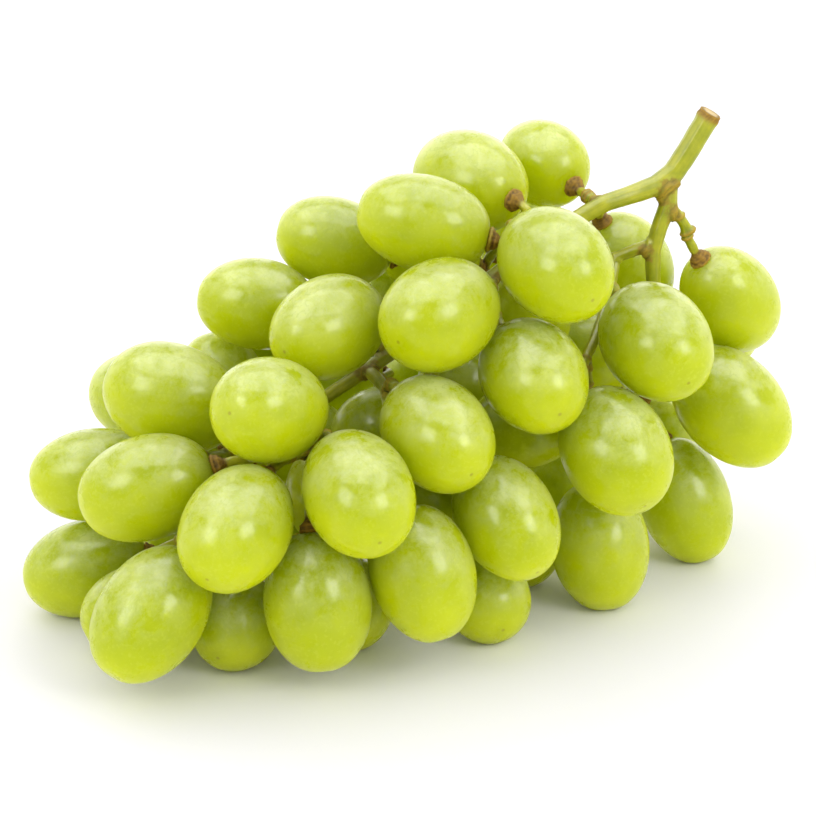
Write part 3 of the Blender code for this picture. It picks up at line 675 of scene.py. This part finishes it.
def buildStem(berries, bark):
    wood = frame["nodes"]["stem"].data.copy()
    seats = seatSpots(berries)
    mesh = meltTogether([wood, growCollars(seats)])
    count = len(mesh.vertices)
    places = np.zeros(count * 3)
    mesh.vertices.foreach_get("co", places)
    places = places.reshape(-1, 3)
    edges = np.zeros(len(mesh.edges) * 2, int)
    mesh.edges.foreach_get("vertices", edges)
    edges = edges.reshape(-1, 2)

    def normalsOf():
        mesh.vertices.foreach_set("co", places.ravel())
        mesh.update()
        normals = np.zeros(count * 3)
        mesh.vertices.foreach_get("normal", normals)
        return normals.reshape(-1, 3)

    # cork covers each seat; how far a spot lies behind its seat draws the rings of the cork
    seatTree = treeOf([place for place, _, _ in seats])
    found = [seatTree.find(place) for place in places]
    toSeat = np.array([gap for _, _, gap in found])
    ways = np.array([seats[index][1] for _, index, _ in found])
    behind = np.sum((np.array([place for place, _, _ in found]) - places) * ways, axis=1) / mm
    corkStart, corkEnd = stemPlan["corkEdge"]
    cork = 1 - easeStep(toSeat, corkStart * mm, corkEnd * mm)

    # wood is smoothed a lot, corky seats and the cut end hardly at all
    cutWay, cutMiddle = findCut(cornersOf("stem"))
    atCut = np.linalg.norm(places - cutMiddle, axis=1) < stemPlan["cutReach"] * mm
    slant = cutWay + stemPlan["cutSlant"] * np.array((0.0, -1.0, 0.0))
    slant /= np.linalg.norm(slant)
    level = cutMiddle @ slant - stemPlan["cutDepth"] * mm
    over = np.where(atCut, np.clip(places @ slant - level, 0, None), 0)
    places = places - np.outer(over / (cutWay @ slant), cutWay)
    fromCut = np.where(atCut, level - places @ slant, 1.0)
    soft = easeStep(fromCut, 0.1 * mm, 1.2 * mm) * (1 - 0.85 * cork) * 0.5
    places = spreadOver(places, edges, stemPlan["smoothing"], soft)

    # forks are the places where the skin is hollow, thin stalks those where it turns sharply
    normals = normalsOf()
    step = stemPlan["voxel"] * mm
    hollow = np.sum((spreadOver(places, edges, 1, 1.0) - places) * normals, axis=1) * 4 * mm / step ** 2
    fork = spreadOver(np.clip(hollow / 0.25, 0, 1) * (1 - cork), edges, 30)
    fork = easeStep(fork, 0.05, 0.3)
    thin = easeStep(spreadOver(-hollow, edges, 12), 0.6, 1.1) * (1 - cork)
    smoothWay = spreadOver(normals, edges, 10)

    # rings round the stalks: bud rings are two swellings side by side
    knob = np.zeros(count)
    for middle, along, size, apart in stalkRings(traceStalks(seats, places)):
        offset = places - middle
        near = np.linalg.norm(offset, axis=1) < 2.0 * mm
        run = offset[near] @ along / mm
        first, second = [np.exp(-((run + way * apart) / stemPlan["knobWidth"]) ** 2) for way in (-1, 1)]
        two = np.maximum(first, second)
        knob[near] = np.maximum(knob[near], two * size)
    knob = knob * (1 - cork)
    crotches = treeOf(places[fork > 0.7][::5])
    nearFork = np.array([crotches.find(place)[2] for place in places])
    nearFork = (1 - easeStep(nearFork, 0.3 * mm, 2.3 * mm)) * (1 - cork)

    ripples = np.array([noise.noise(Vector(way) * 2.4 + Vector((7, 3, 1))) for way in smoothWay])
    lumps = np.array([noise.noise(Vector(place) / (stemPlan["lumpSize"] * mm)) for place in places])
    grit = np.array([noise.noise(Vector(place) / (stemPlan["gritSize"] * mm)) for place in places])
    awayFromCut = easeStep(fromCut, 0.4 * mm, 1.2 * mm)
    flare = np.where(atCut, 1 - easeStep(fromCut, 0.6 * mm, 2.4 * mm), 0)
    outwards = np.linalg.norm(places - cutMiddle - np.outer((places - cutMiddle) @ cutWay, cutWay), axis=1)
    flare = flare * easeStep(outwards, 1.3 * mm, 1.9 * mm) * (1 + 0.8 * lumps)
    rise = (stemPlan["regrowth"] + stemPlan["thinRegrowth"] * thin + stemPlan["swelling"] * fork) * (1 - cork)
    rise = rise + stemPlan["ripple"] * ripples * (1 - cork) + 0.06 * lumps + (0.02 + 0.08 * cork) * grit
    rise = rise + stemPlan["knobHeight"] * knob
    sideways = normals - np.outer(normals @ cutWay, cutWay)
    places = places + normals * (rise * awayFromCut * mm)[:, None]
    places = places + sideways * (flare * stemPlan["cutFlare"] * mm)[:, None]
    normals = normalsOf()

    # how far each spot stands above its surroundings: bark and cork come out darker in the low ones
    ridge = np.sum((places - spreadOver(places, edges, 5)) * normals, axis=1)
    ridge = np.clip(0.5 + ridge / (0.22 * mm), 0, 1)
    onFace = easeStep(normals @ slant, 0.75, 0.95) * atCut * (1 - easeStep(outwards, 1.55 * mm, 1.85 * mm))
    rim = np.where(atCut, 1 - easeStep(fromCut, 0.7 * mm, 1.9 * mm), 0)
    marks = {"cork": cork, "knob": np.clip(knob, 0, 1), "fork": nearFork, "ridge": ridge,
             "behindSeat": behind, "cutFace": onFace, "cutRim": rim}
    for name, values in marks.items():
        mesh.attributes.new(name, "FLOAT", "POINT").data.foreach_set("value", values.astype(np.float32))
    mesh.attributes.new("barkWay", "FLOAT_VECTOR", "POINT").data.foreach_set(
        "vector", smoothWay.astype(np.float32).ravel())
    mesh.materials.clear()
    mesh.materials.append(bark)
    mesh.shade_smooth()
    mesh = thinOut(mesh)
    mesh.name = "stemWood"
    piece = addObject("stemBranches", mesh)
    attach(piece, "root")
    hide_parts("stem")


# Green vine wood: smooth fresh bark with a satin shine and faint lengthwise streaks. It corks over brown at
# collars, bud rings and forks, pale where the cork is rubbed and dark in its cracks. The cut face is dry
# cream pith.
def makeStemBark():
    material, tree, shader = newMaterial("greenVineWood")
    place = addNode(tree, "ShaderNodeTexCoord").outputs["Object"]
    worn = {}
    for name in ("cork", "knob", "fork", "ridge", "behindSeat", "cutFace", "cutRim"):
        worn[name] = addNode(tree, "ShaderNodeAttribute", {"attribute_name": name}).outputs["Fac"]
    way = addNode(tree, "ShaderNodeAttribute", {"attribute_name": "barkWay"}).outputs["Vector"]

    # streaks along the bark about 1 mm apart, over wider blotches
    streaks = addNode(tree, "ShaderNodeTexNoise", inputs={
        "Vector": way, "Scale": 2.4, "Detail": 3.0, "Roughness": 0.6})
    blotches = addNode(tree, "ShaderNodeTexNoise", inputs={
        "Vector": place, "Scale": 1 / (stemPlan["blotch"] * mm), "Detail": 4.0, "Roughness": 0.6})
    blend = addNode(tree, "ShaderNodeMath", {"operation": "MULTIPLY_ADD"}, {
        0: streaks.outputs[0], 1: 0.8, 2: blotches.outputs[0]})
    blend = addNode(tree, "ShaderNodeMath", {"operation": "MULTIPLY_ADD"}, {
        0: worn["ridge"], 1: 0.5, 2: blend.outputs[0]})
    tone = addNode(tree, "ShaderNodeMapRange", inputs={
        "Value": blend.outputs[0], "From Min": 0.85, "From Max": 1.4})
    green = addNode(tree, "ShaderNodeMix", {"data_type": "RGBA"}, {
        0: tone.outputs[0], 6: linearColour(stemPlan["green"][0]), 7: linearColour(stemPlan["green"][1])})

    # cork creeps out from the forks in broken patches, with a few loose specks further off
    creep = addNode(tree, "ShaderNodeTexNoise", inputs={
        "Vector": place, "Scale": 1 / (stemPlan["corkPatch"] * mm), "Detail": 4.0, "Roughness": 0.65})
    reach = addNode(tree, "ShaderNodeMath", {"operation": "MULTIPLY_ADD"}, {
        0: worn["fork"], 1: stemPlan["creeping"], 2: creep.outputs[0]})
    patchy = addNode(tree, "ShaderNodeMapRange", {"interpolation_type": "SMOOTHSTEP"}, {
        "Value": reach.outputs[0], "From Min": 0.66, "From Max": 0.96, "To Max": 0.72})
    ringed = addNode(tree, "ShaderNodeMath", {"operation": "MULTIPLY"}, {0: worn["knob"], 1: 0.9})
    most = patchy
    for other in (worn["cork"], ringed.outputs[0], worn["cutRim"]):
        most = addNode(tree, "ShaderNodeMath", {"operation": "MAXIMUM"}, {0: most.outputs[0], 1: other})
    # growth rings round each seat
    rings = addNode(tree, "ShaderNodeMath", {"operation": "MULTIPLY_ADD"}, {
        0: worn["behindSeat"], 1: 2 * math.pi / stemPlan["ringApart"], 2: creep.outputs[0]})
    rings = addNode(tree, "ShaderNodeMath", {"operation": "SINE"}, {0: rings.outputs[0]})
    rings = addNode(tree, "ShaderNodeMath", {"operation": "MULTIPLY_ADD"}, {
        0: rings.outputs[0], 1: 0.06, 2: worn["ridge"]})
    rubbed = addNode(tree, "ShaderNodeMath", {"operation": "MULTIPLY_ADD"}, {
        0: creep.outputs[0], 1: 0.8, 2: rings.outputs[0]})
    corkTone = addNode(tree, "ShaderNodeMapRange", {"interpolation_type": "SMOOTHSTEP"}, {
        "Value": rubbed.outputs[0], "From Min": 0.4, "From Max": 1.35})
    corkColour = addNode(tree, "ShaderNodeMix", {"data_type": "RGBA"}, {
        0: corkTone.outputs[0], 6: linearColour(stemPlan["corkTones"][0]),
        7: linearColour(stemPlan["corkTones"][1])})
    barked = addNode(tree, "ShaderNodeMix", {"data_type": "RGBA"}, {
        0: most.outputs[0], 6: green.outputs[2], 7: corkColour.outputs[2]})

    # the cut face: cream pith with fine grain
    pith = addNode(tree, "ShaderNodeTexNoise", inputs={
        "Vector": place, "Scale": 1 / (stemPlan["pithGrain"] * mm), "Detail": 3.0})
    pithTone = addNode(tree, "ShaderNodeMix", {"data_type": "RGBA"}, {
        0: pith.outputs[0], 6: linearColour(stemPlan["pith"][0]), 7: linearColour(stemPlan["pith"][1])})
    whole = addNode(tree, "ShaderNodeMix", {"data_type": "RGBA"}, {
        0: worn["cutFace"], 6: barked.outputs[2], 7: pithTone.outputs[2]})
    tree.links.new(whole.outputs[2], shader.inputs["Base Color"])
    dull = addNode(tree, "ShaderNodeMapRange", inputs={
        "Value": most.outputs[0], "To Min": stemPlan["roughness"][0], "To Max": stemPlan["roughness"][1]})
    tree.links.new(dull.outputs[0], shader.inputs["Roughness"])
    for name, value in (("IOR", 1.45), ("Specular IOR Level", 0.36), ("Subsurface Weight", 0.2),
                        ("Subsurface Radius", (1.0, 0.9, 0.3)), ("Subsurface Scale", 0.6 * mm)):
        shader.inputs[name].default_value = value

    # grit of about a third of a millimetre, rougher on the cork
    fine = addNode(tree, "ShaderNodeTexNoise", inputs={
        "Vector": place, "Scale": 1 / (stemPlan["bumpSize"] * mm), "Detail": 3.0})
    depth = addNode(tree, "ShaderNodeMath", {"operation": "MULTIPLY_ADD"}, {
        0: most.outputs[0], 1: 0.5, 2: 0.1})
    bump = addNode(tree, "ShaderNodeBump", inputs={
        "Height": fine.outputs[0], "Strength": depth.outputs[0], "Distance": 0.15 * mm})
    tree.links.new(bump.outputs[0], shader.inputs["Normal"])
    return material


studioPlan = {
    "frontWall": 0.74,       # white all round, brightest behind
    "backWall": 1.85,
    "ceiling": 0.9,
    "shine": (1.6, 0.95, 0.98, (0.0, 0.05)),     # m, a panel overhead: width, depth, height and its middle
    "shinePower": 32.0,      # W; it shows only in glossy skins
    "back": (2.6, 1.3, 0.75, (0.0, 1.25)),       # m, the same for the white wall behind
    "backPower": 6.0,
    "backAim": 0.1,          # m over the table
    "sidePower": (1.4, 2.5), # W, left and right
    "sideShine": 9.5,        # W, more for glossy skins alone
    "sideAngle": 46.0,       # degrees
    "sideRise": 33.0,
    "sideSize": 0.45,        # m
    "sideDistance": 1.1,
    "sideAim": 0.04,
}


def addSoftBox(name, place, towards, size, power, shineOnly=False):
    light = bpy.data.lights.new(name, "AREA")
    light.shape = "RECTANGLE"
    light.size, light.size_y = size
    light.energy = power
    lamp = addObject(name, light)
    lamp.location = place
    lamp.rotation_euler = (Vector(towards) - Vector(place)).to_track_quat("-Z", "Y").to_euler()
    lamp.visible_diffuse = not shineOnly
    lamp.visible_camera = False


def lightStudio():
    world = bpy.data.worlds.new("whiteStudio")
    bpy.context.scene.world = world
    world.use_nodes = True
    tree = world.node_tree
    way = addNode(tree, "ShaderNodeSeparateXYZ", inputs={
        0: addNode(tree, "ShaderNodeTexCoord").outputs["Generated"]})
    behind = addNode(tree, "ShaderNodeMapRange", inputs={
        "Value": way.outputs[1], "From Min": -1.0,
        "To Min": studioPlan["frontWall"], "To Max": studioPlan["backWall"]})
    wall = addNode(tree, "ShaderNodeMapRange", {"interpolation_type": "SMOOTHSTEP"}, {
        "Value": way.outputs[2], "From Min": 0.2,
        "To Min": behind.outputs[0], "To Max": studioPlan["ceiling"]})
    tree.nodes["Background"].inputs["Color"].default_value = (1.0, 1.0, 1.0, 1.0)
    tree.links.new(wall.outputs[0], tree.nodes["Background"].inputs["Strength"])
    width, depth, height, middle = studioPlan["shine"]
    addSoftBox("shineBox", (*middle, height), (*middle, 0.0), (width, depth), studioPlan["shinePower"], True)
    width, tall, height, middle = studioPlan["back"]
    addSoftBox("backBox", (*middle, height), (0, 0, studioPlan["backAim"]), (width, tall),
               studioPlan["backPower"], True)
    size = (studioPlan["sideSize"], studioPlan["sideSize"])
    aim = studioPlan["sideAim"]
    for name, side, power in zip(("left", "right"), (-1, 1), studioPlan["sidePower"]):
        turn = math.radians(studioPlan["sideAngle"]) * side
        rise = math.radians(studioPlan["sideRise"])
        reach = studioPlan["sideDistance"]
        place = (reach * math.sin(turn) * math.cos(rise), -reach * math.cos(turn) * math.cos(rise),
                 reach * math.sin(rise) + aim)
        addSoftBox(name + "Box", place, (0, 0, aim), size, power)
        addSoftBox(name + "Shine", place, (0, 0, aim), size, studioPlan["sideShine"], True)


# White paper: smooth and matt, with a trace of sheen at low angles.
def layFloor():
    material, _, shader = newMaterial("whitePaper")
    shader.inputs["Base Color"].default_value = linearColour("#FAF8FC")
    shader.inputs["Roughness"].default_value = 0.6
    shader.inputs["Specular IOR Level"].default_value = 0.3
    bpy.ops.mesh.primitive_plane_add(size=8.0, location=(0, 0, 0))
    floor = bpy.context.object
    floor.name = "paperFloor"
    floor.data.materials.append(material)


cameraPlan = {
    "target": (-1.2, -8.5, 41.4),        # mm
    "elevation": 20.0,       # degrees
    "distance": 435.9,       # mm
    "lens": 100.0,           # mm
    "sensor": 36.0,          # mm
}


def placeCamera():
    camera = bpy.data.cameras.new("studioCamera")
    camera.lens = cameraPlan["lens"]
    camera.sensor_width = cameraPlan["sensor"]
    camera.clip_start = 0.01
    holder = addObject("studioCamera", camera)
    target = Vector(cameraPlan["target"]) * mm
    rise = math.radians(cameraPlan["elevation"])
    back = Vector((0, -math.cos(rise), math.sin(rise)))
    holder.location = target + back * cameraPlan["distance"] * mm
    holder.rotation_euler = (-back).to_track_quat("-Z", "Y").to_euler()
    bpy.context.scene.camera = holder


placeCamera()
lightStudio()
layFloor()
print("studio ready")
grapeNodes = sorted(node for node in frame["nodes"] if node.startswith("grape_"))
stemTree = treeOf(cornersOf("stem"))
berries = {node: measureBerry(node, stemTree) for node in grapeNodes}
print("measured", len(berries), "grapes")
berryTree = makeBerryTree(makeGrapeSkin())
for index, (node, berry) in enumerate(berries.items(), 1):
    growBerry(node, berry, berryTree, index)
print("grapes grown")
buildStem(berries, makeStemBark())
print("stem grown")
bpy.context.scene.view_settings.view_transform = "Standard"     # whites stay white
